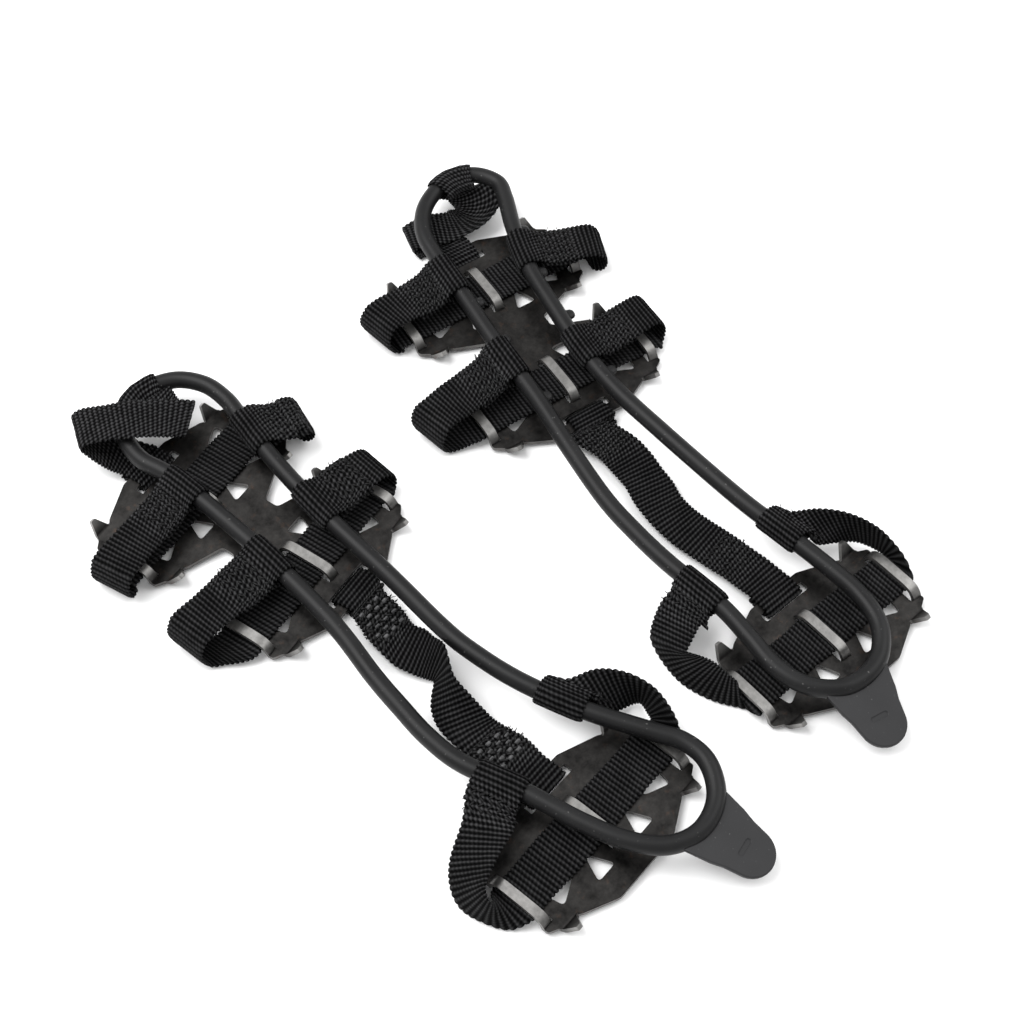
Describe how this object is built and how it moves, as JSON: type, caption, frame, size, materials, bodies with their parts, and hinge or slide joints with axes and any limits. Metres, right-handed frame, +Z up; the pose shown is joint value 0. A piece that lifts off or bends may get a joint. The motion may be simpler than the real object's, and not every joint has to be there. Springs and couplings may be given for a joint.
{
  "type": "pair of strap-on crampons",
  "caption": "Pair of strap-on ice crampons: toothed steel plates on webbing straps sewn to a rubber ring that goes over the boot, with a heel pull tab.",
  "frame": {"origin": "under the middle of the pair, on the surface that it lies on", "axes": "+Z up, away from the surface and along the teeth; +Y towards the toes; +X across, from the left crampon to the right one"},
  "size_m": [0.2997, 0.3627, 0.023],
  "materials": {
    "plate_steel": "dark, satin, worn on the bridges",
    "ring_rubber": "matte",
    "webbing": "ribbed nylon webbing"
  },
  "bodies": {
    "left_front": {"left_front_plate": "plate_steel", "left_ring_front": "ring_rubber", "left_toe_strap": "webbing", "left_fore_strap": "webbing", "left_aft_strap": "webbing", "left_mid_strap": "webbing"},
    "left_heel": {"left_heel_plate": "plate_steel", "left_ring_rear": "ring_rubber", "left_heel_strap": "webbing"},
    "left_tab": {"left_pull_tab": "ring_rubber"},
    "right_front": {"right_front_plate": "plate_steel", "right_ring_front": "ring_rubber", "right_toe_strap": "webbing", "right_fore_strap": "webbing", "right_aft_strap": "webbing", "right_mid_strap": "webbing"},
    "right_heel": {"right_heel_plate": "plate_steel", "right_ring_rear": "ring_rubber", "right_heel_strap": "webbing"},
    "right_tab": {"right_pull_tab": "ring_rubber"}
  },
  "joints": [
    {"name": "left_fold", "type": "hinge", "parent": "left_front", "child": "left_heel", "pos_m": [-0.06943, -0.03092, 0.028], "axis": [-1, 0, 0], "range_deg": [0, 170], "deforming": ["left_mid_strap"]},
    {"name": "left_tab_flex", "type": "hinge", "parent": "left_heel", "child": "left_tab", "pos_m": [-0.03319, -0.1553, 0.0125], "axis": [-0.9659, -0.2588, 0], "range_deg": [-3, 75], "stiffness_Nm_per_rad": 0.02},
    {"name": "right_lift", "type": "slide", "parent": "left_front", "child": "right_front", "axis": [0, 0, 1], "range_m": [0, 0.15]},
    {"name": "right_fold", "type": "hinge", "parent": "right_front", "child": "right_heel", "pos_m": [0.07257, -0.03292, 0.028], "axis": [-1, 0, 0], "range_deg": [0, 170], "deforming": ["right_mid_strap"]},
    {"name": "right_tab_flex", "type": "hinge", "parent": "right_heel", "child": "right_tab", "pos_m": [0.05484, -0.15255, 0.0125], "axis": [-0.9744, 0.225, 0], "range_deg": [-3, 75], "stiffness_Nm_per_rad": 0.02}
  ]
}
